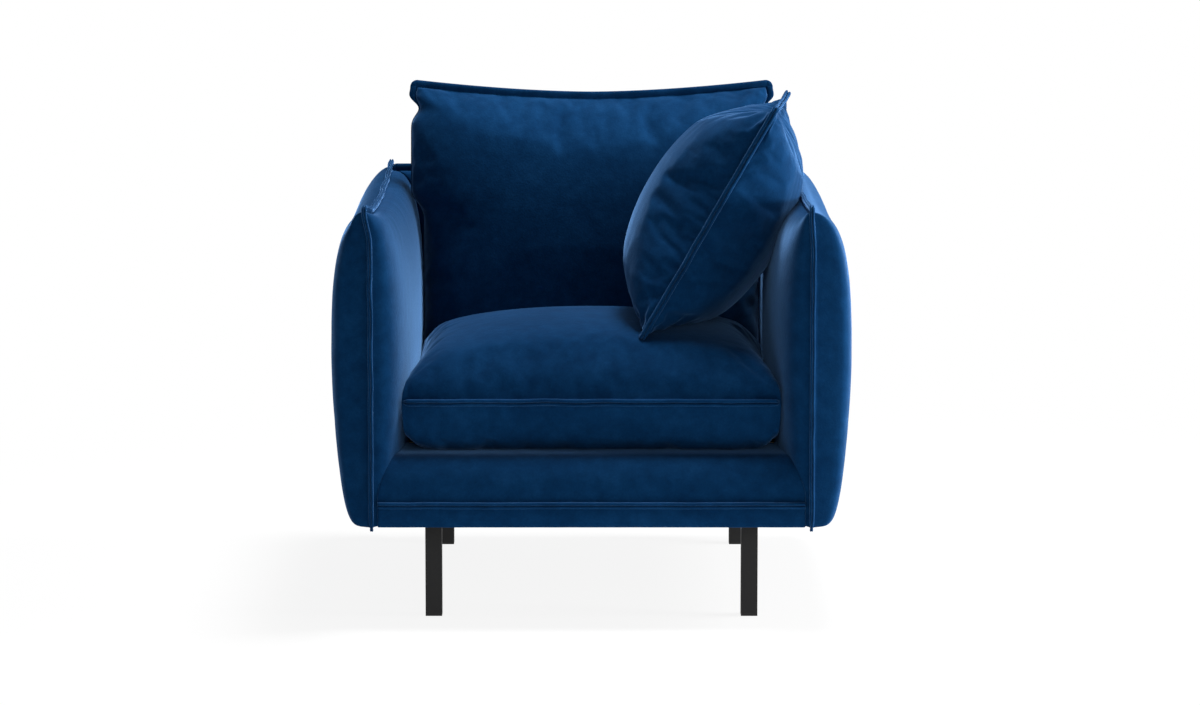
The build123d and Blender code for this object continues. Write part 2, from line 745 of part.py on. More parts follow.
# Loose cushions: a wadded, sewn cover around a core
seat_core = block(
    -seat_half + core_margin, seat_half - core_margin, seat_front + core_margin, seat_rear - core_margin,
    seat_seam - seat_seam_rise + core_wrap, seat_seam + core_wrap,
)
nodes["seat_cushion_cover"] = seat_form() - seat_core
nodes["seat_cushion_core"] = seat_core
lean_plane = Plane(
    origin=(0, back_cushion_mid_y, (back_cushion_foot + back_cushion_top) / 2),
    x_dir=(1, 0, 0),
    z_dir=(0, -math.cos(math.radians(back_cushion_lean)), math.sin(math.radians(back_cushion_lean))),
)
back_core_tall = back_cushion_top - back_cushion_foot - 2 * core_margin - back_cushion_dip
back_cushion_core = lean_plane * Box(2 * (lower_half - core_margin), back_core_tall, back_cushion_swell)
nodes["back_cushion_cover"] = back_cushion_form() - back_cushion_core
nodes["back_cushion_core"] = back_cushion_core
scatter, scatter_plane = scatter_form()
scatter_side = scatter_size - 2 * core_margin - 2 * scatter_draw
scatter_core = scatter_plane * Box(scatter_side, scatter_side, scatter_arm_swell - scatter_core_wrap)
nodes["scatter_cushion_cover"] = scatter - scatter_core
nodes["scatter_cushion_core"] = scatter_core

os.makedirs("parts", exist_ok=True)
for name, shape in nodes.items():
    if isinstance(shape, list):
        solids = [solid for piece in shape for solid in piece.solids()]
        shape = Compound(solids)
    export_step(shape, "parts/" + name + ".step")
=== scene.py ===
import json
import math

import bmesh
import bpy
from mathutils import Matrix, Vector, noise


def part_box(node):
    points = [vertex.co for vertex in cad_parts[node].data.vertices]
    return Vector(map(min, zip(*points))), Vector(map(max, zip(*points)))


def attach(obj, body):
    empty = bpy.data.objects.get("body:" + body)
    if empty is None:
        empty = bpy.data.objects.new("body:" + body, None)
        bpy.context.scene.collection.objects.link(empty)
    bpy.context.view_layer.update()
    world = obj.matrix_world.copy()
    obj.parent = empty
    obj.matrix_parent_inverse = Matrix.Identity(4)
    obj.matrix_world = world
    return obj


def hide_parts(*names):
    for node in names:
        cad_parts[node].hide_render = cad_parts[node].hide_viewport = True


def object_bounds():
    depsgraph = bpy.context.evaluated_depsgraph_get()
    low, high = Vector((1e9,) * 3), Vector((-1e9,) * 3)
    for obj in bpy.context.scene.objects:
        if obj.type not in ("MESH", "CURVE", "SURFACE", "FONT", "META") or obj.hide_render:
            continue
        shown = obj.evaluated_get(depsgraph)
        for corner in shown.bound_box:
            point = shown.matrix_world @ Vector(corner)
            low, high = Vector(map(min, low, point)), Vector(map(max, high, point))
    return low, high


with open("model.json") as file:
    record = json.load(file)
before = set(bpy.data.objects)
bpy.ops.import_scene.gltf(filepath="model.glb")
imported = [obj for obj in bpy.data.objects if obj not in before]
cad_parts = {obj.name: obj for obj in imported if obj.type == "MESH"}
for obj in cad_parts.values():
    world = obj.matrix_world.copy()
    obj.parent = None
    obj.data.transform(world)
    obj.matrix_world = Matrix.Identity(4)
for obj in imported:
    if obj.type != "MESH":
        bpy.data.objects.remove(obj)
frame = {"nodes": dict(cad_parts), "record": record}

cad_low, cad_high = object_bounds()

# Sewn edge: two fabric lips with a slit between them.
# Each step is (reach beyond the seam, half thickness), in metres.
LIP_PROFILE = (
    (0.0016, 0.0034), (0.0045, 0.0045), (0.0085, 0.0047), (0.0112, 0.0042), (0.0125, 0.0031),
    (0.0130, 0.0019), (0.0124, 0.0009), (0.0105, 0.0004), (0.0080, 0.0),
)
LIP_REACH = 0.013
# Share of the lips' thickness that is left where they run out
LIP_LEAST = 0.25
# How far the lips wander to either side, how many times in a metre, and a shift of that pattern
LIP_WAVE = 0.0024
LIP_WAVES = 19.0
LIP_SHIFT = 3.0
# Half the thickness at the seam, and how near to its plane the cover is held while the rest swells
SEAM_HALF = 0.0013
SEAM_HELD = 0.0075
# From this share of the way to the seam on, a point is on the seam
AT_SEAM = 0.999

# Gathers start this far in from the seam, and are full where the cover stands this high
GATHER_CLEAR = 0.008
GATHER_FULL = 0.02
# How fast a gather changes along its length, and the shift between gathers of crossing seams
GATHER_DRIFT = 1.3
GATHER_SHIFT = 7.0

SWELL_FRAMES = 20
SWELL_PRESSURE = 3.0

# Room between a loose cushion and what it lies against
NEIGHBOUR_GAP = 0.002


def superround(share, power):
    """Share of the full swell left at a share of the way from the middle to the seam."""
    return max(0.0, 1.0 - min(1.0, abs(share)) ** power) ** (1.0 / power)


def clamp(value, low=0.0, high=1.0):
    return max(low, min(high, value))


def smooth_step(value):
    value = clamp(value)
    return value * value * (3.0 - 2.0 * value)


def crowded(count):
    """Stations from -1 to 1, even over the face and closer where the cover turns over the seam."""
    stations = []
    for i in range(count + 1):
        even = 2.0 * i / count - 1.0
        turned = math.sin(math.pi / 2 * even)
        weight = even ** 4
        stations.append(even * (1.0 - weight) + turned * weight)
    return stations


def lip_stations(body):
    """Body stations with the lip's stations before and after: (station, lip step or None)."""
    before = [(-1.0, k) for k in reversed(range(len(LIP_PROFILE)))]
    after = [(1.0, k) for k in range(len(LIP_PROFILE))]
    return before + [(s, None) for s in body] + after


class Stuffing:
    """Shape of one stuffed piece: outline, swell of both faces, puckers and sewn edge."""

    def __init__(self, half_u, half_v, counts, swell_front, swell_rear, outline, pucker,
                 pucker_pitch, seed, pucker_depth=0.05, lip=None, lip_height=1.0, creases=()):
        self.half_u = half_u
        self.half_v = half_v
        self.counts = counts
        self.swell_front = swell_front
        self.swell_rear = swell_rear
        self.outline = outline
        self.lip = lip or (lambda a, b: 1.0)
        self.lip_height = lip_height
        self.pucker = pucker
        self.pucker_pitch = pucker_pitch
        self.pucker_depth = pucker_depth
        self.seed = seed
        self.creases = creases

    def near_seam(self, inset):
        """Share of the gathers' depth at a distance in from the seam."""
        fade = math.exp(-inset / self.pucker_depth)
        return fade * (1.0 - math.exp(-inset / GATHER_CLEAR))

    def gather(self, a, b, side):
        """Small folds that run in from the seam where the cloth is gathered."""
        near_u = self.near_seam((1.0 - abs(a)) * self.half_u)
        near_v = self.near_seam((1.0 - abs(b)) * self.half_v)
        along_u = a * self.half_u / self.pucker_pitch
        along_v = b * self.half_v / self.pucker_pitch
        seed = self.seed + side
        fold_u = noise.noise(Vector((along_v, a * GATHER_DRIFT, seed)))
        fold_v = noise.noise(Vector((along_u, b * GATHER_DRIFT, seed + GATHER_SHIFT)))
        return self.pucker * (fold_u * near_u + fold_v * near_v)

    def height(self, a, b, side):
        """Distance of a face from the seam's plane."""
        swell = self.swell_front if side > 0 else self.swell_rear
        level = swell(a, b)
        level += self.gather(a, b, side) * clamp(level / GATHER_FULL)
        for crease in self.creases:
            level -= crease(a, b, side)
        return SEAM_HALF + max(level, 0.0)


def stuffed_mesh(name, form, place):
    """Mesh of a stuffed piece from two gridded faces joined at the slit of the sewn edge."""
    columns = lip_stations(crowded(form.counts[0]))
    rows = lip_stations(crowded(form.counts[1]))
    bm = bmesh.new()
    for side in (1, -1):
        face = bmesh.new()
        bmesh.ops.create_grid(face, x_segments=len(columns) - 1, y_segments=len(rows) - 1, size=0.5)
        for vert in face.verts:
            column = columns[round((vert.co.x + 0.5) * (len(columns) - 1))]
            row = rows[round((vert.co.y + 0.5) * (len(rows) - 1))]
            vert.co = stuffed_point(form, column, row, side)
        if side < 0:
            bmesh.ops.reverse_faces(face, faces=face.faces)
        half = bpy.data.meshes.new("half")
        face.to_mesh(half)
        face.free()
        bm.from_mesh(half)
        bpy.data.meshes.remove(half)
    bmesh.ops.remove_doubles(bm, verts=bm.verts, dist=1e-6)
    bmesh.ops.transform(bm, matrix=place, verts=bm.verts)
    bmesh.ops.recalc_face_normals(bm, faces=bm.faces)
    return finished(name, bm)


def settle(obj, place, excess, cap):
    """Let a sewn cover swell by cloth simulation, its seams held.

    The cloth has some excess, as a share of its length, and no point moves further than the cap.
    """
    mesh = obj.data
    start = [vert.co.copy() for vert in mesh.vertices]
    back = place.inverted()
    local = [back @ co for co in start]
    held = [i for i, co in enumerate(local) if abs(co.z) < SEAM_HELD]
    group = obj.vertex_groups.new(name="seam")
    group.add(held, 1.0, "REPLACE")
    cloth = obj.modifiers.new("cloth", "CLOTH")
    cloth.settings.quality = 6
    cloth.settings.mass = 0.25
    cloth.settings.tension_stiffness = 25.0
    cloth.settings.compression_stiffness = 25.0
    cloth.settings.shear_stiffness = 12.0
    cloth.settings.bending_stiffness = 0.4
    cloth.settings.air_damping = 4.0
    cloth.settings.use_pressure = True
    cloth.settings.uniform_pressure_force = SWELL_PRESSURE
    cloth.settings.shrink_min = -excess
    cloth.settings.vertex_group_mass = "seam"
    cloth.settings.effector_weights.gravity = 0.0
    cloth.collision_settings.use_collision = False
    cloth.collision_settings.use_self_collision = False
    cloth.point_cache.frame_start = 1
    cloth.point_cache.frame_end = SWELL_FRAMES
    for frame_number in range(1, SWELL_FRAMES + 1):
        bpy.context.scene.frame_set(frame_number)
    evaluated = obj.evaluated_get(bpy.context.evaluated_depsgraph_get())
    settled = [vert.co.copy() for vert in evaluated.data.vertices]
    obj.modifiers.remove(cloth)
    obj.vertex_groups.remove(group)
    bpy.context.scene.frame_set(1)
    for vert, old, new in zip(mesh.vertices, start, settled):
        move = new - old
        if move.length > cap:
            move.length = cap
        vert.co = old + move


def stuffed_point(form, column, row, side):
    """Place of one grid point of a stuffed face, in the piece's own axes."""
    a, lip_u = column
    b, lip_v = row
    u, v = form.outline(a, b)
    if lip_u is None and lip_v is None:
        return Vector((u, v, side * form.height(a, b, side)))
    reach_u, half_u = LIP_PROFILE[lip_u] if lip_u is not None else (0.0, 1.0)
    reach_v, half_v = LIP_PROFILE[lip_v] if lip_v is not None else (0.0, 1.0)
    longest = max(reach_u, reach_v)
    length = math.hypot(reach_u, reach_v)
    ease = longest / length if length > 0.0 else 1.0
    size = form.lip(a, b)
    half = min(half_u, half_v) * form.lip_height * (LIP_LEAST + (1.0 - LIP_LEAST) * size)
    drift = noise.noise(Vector((u * LIP_WAVES, v * LIP_WAVES, form.seed + LIP_SHIFT)))
    wave = LIP_WAVE * drift * longest / LIP_REACH
    u += math.copysign(reach_u * ease * size, a) if lip_u is not None else 0.0
    v += math.copysign(reach_v * ease * size, b) if lip_v is not None else 0.0
    return Vector((u, v, side * half + wave))


def finished(name, bm, smooth=True):
    """Object at the origin from a bmesh, shaded smooth unless told otherwise."""
    mesh = bpy.data.meshes.new(name)
    for face in bm.faces:
        face.smooth = smooth
    bm.to_mesh(mesh)
    bm.free()
    obj = bpy.data.objects.new(name, mesh)
    bpy.context.scene.collection.objects.link(obj)
    return obj


def axes(origin, u, v, w):
    """Matrix that takes a piece's own axes to the chair's frame."""
    matrix = Matrix.Identity(4)
    for column, vector in enumerate((u, v, w, origin)):
        for row in range(3):
            matrix[row][column] = vector[row]
    return matrix


# Materials

def new_material(name):
    """Material with its node tree, its shader and its object coordinates."""
    material = bpy.data.materials.new(name)
    material.use_nodes = True
    nodes = material.node_tree.nodes
    shader = nodes["Principled BSDF"]
    coords = nodes.new("ShaderNodeTexCoord")
    return material, material.node_tree, shader, coords.outputs["Object"]


def noise_node(tree, vector, scale, detail, rough=0.5, stretch=None):
    """Noise texture on object coordinates, stretched if asked."""
    if stretch:
        mapping = tree.nodes.new("ShaderNodeMapping")
        mapping.inputs["Scale"].default_value = stretch
        tree.links.new(vector, mapping.inputs["Vector"])
        vector = mapping.outputs["Vector"]
    texture = tree.nodes.new("ShaderNodeTexNoise")
    texture.inputs["Scale"].default_value = scale
    texture.inputs["Detail"].default_value = detail
    texture.inputs["Roughness"].default_value = rough
    tree.links.new(vector, texture.inputs["Vector"])
    return texture.outputs["Fac"]


def added(tree, base, extra, share):
    """One value plus a share of another."""
    node = tree.nodes.new("ShaderNodeMath")
    node.operation = "MULTIPLY_ADD"
    node.inputs[1].default_value = share
    tree.links.new(extra, node.inputs[0])
    tree.links.new(base, node.inputs[2])
    return node.outputs[0]


def ramp(tree, value, stops):
    """Colour ramp over a value, from (place, colour) stops."""
    node = tree.nodes.new("ShaderNodeValToRGB")
    elements = node.color_ramp.elements
    while len(elements) < len(stops):
        elements.new(0.5)
    for element, (place, color) in zip(elements, stops):
        element.position = place
        element.color = (*color, 1.0)
    tree.links.new(value, node.inputs["Fac"])
    return node.outputs["Color"]


def add_bump(tree, shader, height, strength, distance, below=None):
    """Bump on a shader's surface, laid over a coarser one if given."""
    bump = tree.nodes.new("ShaderNodeBump")
    bump.inputs["Strength"].default_value = strength
    bump.inputs["Distance"].default_value = distance
    tree.links.new(height, bump.inputs["Height"])
    if below:
        tree.links.new(below, bump.inputs["Normal"])
    tree.links.new(bump.outputs["Normal"], shader.inputs["Normal"])
    return bump.outputs["Normal"]


def velvet():
    """Short-pile navy velvet: brushed patches, mottled nap, fine pile and a blue sheen."""
    material, tree, shader, coords = new_material("velvet")
    brushed = noise_node(tree, coords, scale=6.0, detail=5.0, rough=0.6)
    nap = noise_node(tree, coords, scale=38.0, detail=5.0, rough=0.68)
    pile = noise_node(tree, coords, scale=330.0, detail=3.0, rough=0.6)
    tone = added(tree, added(tree, nap, brushed, 0.7), pile, 0.4)
    halved = tree.nodes.new("ShaderNodeMath")
    halved.operation = "MULTIPLY"
    halved.inputs[1].default_value = 0.5
    tree.links.new(tone, halved.inputs[0])
    color = ramp(tree, halved.outputs[0], [
        (0.40, (0.0012, 0.0180, 0.0600)),
        (0.525, (0.0018, 0.0245, 0.0780)),
        (0.66, (0.0034, 0.0335, 0.1010)),
    ])
    tree.links.new(color, shader.inputs["Base Color"])
    shader.inputs["Roughness"].default_value = 0.9
    shader.inputs["Specular IOR Level"].default_value = 0.02
    shader.inputs["Sheen Weight"].default_value = 0.45
    shader.inputs["Sheen Roughness"].default_value = 0.35
    shader.inputs["Sheen Tint"].default_value = (0.21, 0.47, 0.95, 1.0)
    under = add_bump(tree, shader, nap, strength=0.25, distance=0.0030)
    add_bump(tree, shader, pile, strength=0.30, distance=0.0008, below=under)
    return material


def powder_coat(name, tone, rough):
    """Dull dark coating with a fine grain."""
    material, tree, shader, coords = new_material(name)
    grain = noise_node(tree, coords, scale=420.0, detail=2.0)
    color = ramp(tree, grain, [(0.3, tuple(c * 0.8 for c in tone)), (0.7, tone)])
    tree.links.new(color, shader.inputs["Base Color"])
    shader.inputs["Roughness"].default_value = rough
    shader.inputs["Specular IOR Level"].default_value = 0.25
    add_bump(tree, shader, grain, strength=0.15, distance=0.0004)
    return material


def timber(name, light, dark, grain_scale):
    """Wood with its grain drawn out along the chair's depth."""
    material, tree, shader, coords = new_material(name)
    grain = noise_node(tree, coords, grain_scale, detail=4.0, rough=0.6, stretch=(1.0, 0.12, 1.0))
    color = ramp(tree, grain, [(0.35, dark), (0.65, light)])
    tree.links.new(color, shader.inputs["Base Color"])
    shader.inputs["Roughness"].default_value = 0.62
    add_bump(tree, shader, grain, strength=0.2, distance=0.0006)
    return material


def bright_metal(name, tone, rough):
    """Bare or plated steel with a faint mottle."""
    material, tree, shader, coords = new_material(name)
    mottle = noise_node(tree, coords, scale=260.0, detail=2.0)
    color = ramp(tree, mottle, [(0.3, tuple(c * 0.85 for c in tone)), (0.7, tone)])
    tree.links.new(color, shader.inputs["Base Color"])
    shader.inputs["Metallic"].default_value = 1.0
    shader.inputs["Roughness"].default_value = rough
    add_bump(tree, shader, mottle, strength=0.1, distance=0.0003)
    return material


def fibrous(name, light, dark, scale):
    """Dull cloth, felt, foam or filling, mottled at the scale of its fibres or cells."""
    material, tree, shader, coords = new_material(name)
    fibre = noise_node(tree, coords, scale, detail=3.0, rough=0.6)
    color = ramp(tree, fibre, [(0.35, dark), (0.65, light)])
    tree.links.new(color, shader.inputs["Base Color"])
    shader.inputs["Roughness"].default_value = 0.9
    add_bump(tree, shader, fibre, strength=0.4, distance=0.0008)
    return material


SLOT_MATERIALS = {
    "velvet": velvet(),
    "foam": fibrous("foam", (0.70, 0.62, 0.38), (0.58, 0.50, 0.30), 220.0),
    "filling": fibrous("filling", (0.82, 0.82, 0.80), (0.68, 0.68, 0.66), 120.0),
    "leg_steel": powder_coat("leg_steel", (0.009, 0.009, 0.0095), 0.6),
    "glide_plastic": powder_coat("glide_plastic", (0.012, 0.012, 0.012), 0.6),
    "zinc_steel": bright_metal("zinc_steel", (0.68, 0.68, 0.64), 0.35),
    "spring_steel": bright_metal("spring_steel", (0.30, 0.30, 0.31), 0.4),
    "felt": fibrous("felt", (0.20, 0.20, 0.19), (0.11, 0.11, 0.11), 260.0),
    "lining": fibrous("lining", (0.010, 0.010, 0.012), (0.004, 0.004, 0.005), 420.0),
    "webbing": fibrous("webbing", (0.03, 0.03, 0.03), (0.012, 0.012, 0.012), 380.0),
    "fibreboard": timber("fibreboard", (0.24, 0.13, 0.055), (0.17, 0.09, 0.04), 60.0),
    "beech": timber("beech", (0.55, 0.34, 0.17), (0.42, 0.25, 0.12), 90.0),
    "timber": timber("timber", (0.60, 0.40, 0.19), (0.42, 0.26, 0.11), 34.0),
}
node_slots = {part["node"]: part["material_slot"] for part in frame["record"]["subparts"]}
for node_name, node in frame["nodes"].items():
    node.data.materials.clear()
    node.data.materials.append(SLOT_MATERIALS[node_slots[node_name]])


def dressed(obj, body, fill, *nodes):
    """Velvet on a padded piece that rides on a body in place of its CAD nodes."""
    obj.data.materials.append(SLOT_MATERIALS["velvet"])
    subdivision = obj.modifiers.new("subdivision", "SUBSURF")
    subdivision.levels = 1
    subdivision.render_levels = 1
    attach(obj, body)
    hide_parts(*nodes)
    return obj


# Arms: stuffed slabs with a sewn edge all round, their front top corners drawn up to ears

arm_low, arm_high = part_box("arm_upholstery_right")
ARM_SEAM_X = arm_low[0] + 0.054
# Swell to either side of the seam, dip of the top edge, and how far the ends draw in at mid-height
ARM_OUTER = arm_high[0] - ARM_SEAM_X
ARM_INNER = 0.065
ARM_DIP = 0.016
ARM_DRAW = 0.004
# Share of the lip that is left under the foot, and how much comes or goes at the foot's corners
ARM_FOOT_LIP = 0.10
ARM_CORNER_LIP = 0.45
EAR_SIZE = 0.045
EAR_LIFT = 0.006
# How far each arm's ear leans away from the sitter
EAR_SPLAY_LEFT = 0.010
EAR_SPLAY_RIGHT = -0.003
ARM_HALF_Y = (arm_high[1] - arm_low[1]) / 2 - LIP_REACH
ARM_MIDDLE_Z = (arm_low[2] + arm_high[2]) / 2
ARM_RISE = arm_high[2] - LIP_REACH - ARM_MIDDLE_Z
ARM_DROP = ARM_MIDDLE_Z - arm_low[2] + 0.004


def arm_dip(a, b):
    """How far the arm's top edge lies below its corners."""
    return ARM_DIP * (1.0 - a * a) * smooth_step(b)


def arm_upright(b):
    """Share of the arm's swell at a height: round over the top, tapering to a blunt foot."""
    if b > 0:
        return superround(b, 2.85)
    return (1.0 - 0.33 * abs(b) ** 1.6) * superround(b, 7.0)


def arm_outer_swell(a, b):
    """Swell of the face away from the sitter, blunt at the front end."""
    return (ARM_OUTER - SEAM_HALF) * superround(a, 9.0 if a < 0 else 4.5) * arm_upright(b)


def arm_inner_swell(a, b):
    """Swell of the face towards the sitter, rounder at the front end."""
    return (ARM_INNER - SEAM_HALF) * superround(a, 3.2 if a < 0 else 6.0) * arm_upright(b)


def arm_inner_x(y, z):
    """Distance of either arm's inner face from the chair's middle, at a depth and a height."""
    a = clamp(y / ARM_HALF_Y, -1.0, 1.0)
    rise = z - ARM_MIDDLE_Z
    reach = ARM_RISE if rise > 0 else ARM_DROP
    b = clamp(rise / reach, -1.0, 1.0)
    b = clamp((rise + arm_dip(a, b)) / reach, -1.0, 1.0)
    return ARM_SEAM_X - SEAM_HALF - arm_inner_swell(a, b)


def build_arm(name, side, splay):
    def outline(a, b):
        draw = ARM_DRAW * (1.0 - b * b)
        return a * (ARM_HALF_Y - draw), b * (ARM_RISE if b > 0 else ARM_DROP) - arm_dip(a, b)

    def lip(a, b):
        """Full lip up both ends and over the top, nearly none under the foot."""
        if abs(a) > AT_SEAM:
            return 1.0 - ARM_CORNER_LIP * smooth_step((-0.96 - b) / 0.04)
        if b > 0:
            return 1.0
        return ARM_FOOT_LIP + ARM_CORNER_LIP * smooth_step((abs(a) - 0.985) / 0.015)

    form = Stuffing(
        ARM_HALF_Y, ARM_RISE, (96, 72), lambda a, b: arm_outer_swell(a * side, b),
        lambda a, b: arm_inner_swell(a * side, b), outline, lip=lip,
        pucker=0.0016, pucker_pitch=0.035, pucker_depth=0.045, seed=11.0 * side, lip_height=0.95,
    )
    place = axes((side * ARM_SEAM_X, 0.0, ARM_MIDDLE_Z), (0, side, 0), (0, 0, 1), (side, 0, 0))
    obj = stuffed_mesh("arm_" + name, form, place)
    corner = Vector((side * ARM_SEAM_X, -ARM_HALF_Y, ARM_MIDDLE_Z + ARM_RISE))
    for vert in obj.data.vertices:
        near = smooth_step(1.0 - (vert.co - corner).length / EAR_SIZE)
        vert.co += Vector((side * splay, 0.0, EAR_LIFT)) * near
    return dressed(obj, "chair", 0.9, "arm_upholstery_" + name)


build_arm("left", -1, EAR_SPLAY_LEFT)
build_arm("right", 1, EAR_SPLAY_RIGHT)


# Back unit between the arms

# Its sides tuck this far under the arms' covers, and its foot this far below its solid's
BACK_UNIT_TUCK = 0.0005
BACK_UNIT_FOOT = 0.003
# Of the unit's thickness, 38 parts in 83 lie in front of its seam
BACK_UNIT_FRONT_PARTS = 38.0
BACK_UNIT_PARTS = 83.0


def build_back_unit():
    low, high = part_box("back_upholstery")
    thick = high[1] - low[1]
    inner = thick * BACK_UNIT_FRONT_PARTS / BACK_UNIT_PARTS
    half_u = (high[0] - low[0]) / 2
    middle = (low[2] + high[2]) / 2
    rise = high[2] - LIP_REACH - middle
    drop = middle - low[2] + BACK_UNIT_FOOT
    seam_y = low[1] + inner

    def swell_of(depth):
        """Swell of a face, round over the top and blunt at the sides and the foot."""
        def swell(a, b):
            return (depth - SEAM_HALF) * superround(a, 12.0) * superround(b, 2.8 if b > 0 else 14.0)
        return swell

    def outline(a, b):
        up = b * (rise if b > 0 else drop)
        return a * (arm_inner_x(seam_y, middle + up) + BACK_UNIT_TUCK), up

    form = Stuffing(
        half_u, rise, (80, 64), swell_of(inner), swell_of(thick - inner), outline,
        lip=lambda a, b: 1.0 if b > AT_SEAM else 0.05,
        pucker=0.0012, pucker_pitch=0.04, seed=31.0,
    )
    origin = ((low[0] + high[0]) / 2, seam_y, middle)
    place = axes(origin, (1, 0, 0), (0, 0, 1), (0, -1, 0))
    return dressed(stuffed_mesh("back_unit", form, place), "chair", 0.85, "back_upholstery")


build_back_unit()


# Front border of the base: plain band, sewn edge, and a roll up to the deck

BORDER_END = 0.359
BORDER_COLUMNS = 120
BORDER_CLOTH = 0.002
# Its ends tuck this far under the arms' covers, its deck lies this far below its solid's top,
# and its foot this far below its solid's foot
BORDER_TUCK = 0.0025
BORDER_DECK_DROP = 0.0025
BORDER_FOOT_DROP = 0.005
# Seam behind and above its solid's lowest front corner, and the lips' root behind the seam
BORDER_SEAM_Y = 0.002
BORDER_SEAM_Z = 0.034
BORDER_LIP_ROOT = 0.007
BORDER_LIP_REACH = 0.9
BORDER_LIP_THICK = 1.2
# Plain band from under the foot up to the seam: (behind the seam, above the foot)
BORDER_BAND = (
    (0.022, 0.004), (0.014, 0.0005), (0.007, 0.0), (0.0055, 0.004), (0.0035, 0.012),
    (0.0035, 0.024), (0.0055, 0.0305),
)
# Roll: depth, roundness, steps, where it starts behind and above the seam, first step of the deck
ROLL_DEPTH = 0.068
ROLL_POWER = 2.7
ROLL_STEPS = 18
ROLL_START_Y = 0.006
ROLL_START_Z = 0.004
DECK_STEP = 0.03
# Small folds along the seam: height, spacing, fade to either side, drift with height, and seed
BORDER_FOLD = 0.0012
BORDER_FOLD_PITCH = 0.05
BORDER_FOLD_FADE = 0.03
BORDER_FOLD_DRIFT = 6.0
BORDER_FOLD_SEED = 5.0


def border_profile(low, high, seam_y, seam_z):
    """Line that the border follows from under its foot to the rear of the deck."""
    deck = high[2] - BORDER_DECK_DROP
    foot = low[2] - BORDER_FOOT_DROP
    profile = [(seam_y + y, foot + z) for y, z in BORDER_BAND]
    lips = [(-reach * BORDER_LIP_REACH, half * BORDER_LIP_THICK) for reach, half in LIP_PROFILE]
    profile += [(seam_y + BORDER_LIP_ROOT + y, seam_z - z) for y, z in lips]
    profile += [(seam_y + BORDER_LIP_ROOT + y, seam_z + z) for y, z in reversed(lips[:-1])]
    roll_y = ROLL_DEPTH - ROLL_START_Y
    roll_z = deck - seam_z - ROLL_START_Z
    for step in range(1, ROLL_STEPS + 1):
        turn = math.radians(90.0 * step / ROLL_STEPS)
        share_y = math.cos(turn) ** (2 / ROLL_POWER)
        share_z = math.sin(turn) ** (2 / ROLL_POWER)
        y = seam_y + ROLL_DEPTH - share_y * roll_y
        profile.append((y, seam_z + ROLL_START_Z + share_z * roll_z))
    profile += [(seam_y + ROLL_DEPTH + DECK_STEP, deck), (high[1], deck)]
    profile.append((high[1], deck - BORDER_CLOTH))
    return profile


def build_front_border():
    low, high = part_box("front_border")
    seam_y = low[1] + BORDER_SEAM_Y
    seam_z = low[2] + BORDER_SEAM_Z
    profile = border_profile(low, high, seam_y, seam_z)
    last = len(profile) - 1
    bm = bmesh.new()
    bmesh.ops.create_grid(bm, x_segments=BORDER_COLUMNS, y_segments=last, size=0.5)
    for vert in bm.verts:
        share = vert.co.x * 2.0
        y, z = profile[round((vert.co.y + 0.5) * last)]
        x = share * min(arm_inner_x(y, z) + BORDER_TUCK, BORDER_END)
        spot = Vector((x / BORDER_FOLD_PITCH, z * BORDER_FOLD_DRIFT, BORDER_FOLD_SEED))
        near = math.exp(-abs(z - seam_z) / BORDER_FOLD_FADE)
        fold = noise.noise(spot) * BORDER_FOLD * near
        vert.co = Vector((x, y + fold, z + fold * 0.5))
    bmesh.ops.recalc_face_normals(bm, faces=bm.faces)
    obj = finished("base_front", bm)
    shell = obj.modifiers.new("cloth", "SOLIDIFY")
    shell.thickness = BORDER_CLOTH
    shell.offset = -1.0
    return dressed(obj, "chair", 0.8, "front_border")


build_front_border()


# Seat cushion: boxed at its corners, high crown in the middle, flat where it rests

seat_low, seat_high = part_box("seat_cushion_cover")
SEAT_SEAM_Z = seat_low[2] + 0.085
# Room that the crown leaves for the swelling, crown above the seam, and the boxed edge's height
SEAT_SWELLS = 0.007
SEAT_CROWN = seat_high[2] - SEAT_SEAM_Z - SEAT_SWELLS
SEAT_EDGE = 0.056
SEAT_HALF_X = (seat_high[0] - seat_low[0]) / 2 - 0.001
SEAT_HALF_Y = (seat_high[1] - seat_low[1]) / 2 - 0.006
SEAT_MIDDLE_Y = (seat_high[1] + seat_low[1]) / 2
# Half width at the front, gap to the arms, how far front and rear draw in, rounding of the corners
SEAT_FRONT_X = 0.325
SEAT_SIDE_GAP = 0.0015
SEAT_DRAW = 0.004
SEAT_CORNER = 0.010
# Lip along the sides, as a share of the one in front, and where either runs out before a corner
SEAT_SIDE_LIP = 0.4
SEAT_SIDE_LIP_END = 0.08
SEAT_FRONT_LIP_END = 0.010
# Short darts beside the corners: in from the side, half width, depth
DART_PLACE = 0.011
DART_WIDTH = 0.0035
DART_DEPTH = 0.004


def seat_top(a, b):
    """Swell of the seat above its seam."""
    edge = SEAT_EDGE * superround(a, 5.5) * superround(b, 5.0)
    crown = SEAT_CROWN - SEAT_EDGE - SEAM_HALF
    return edge + crown * superround(a, 2.0) ** 1.15 * superround(b, 2.1) ** 1.1


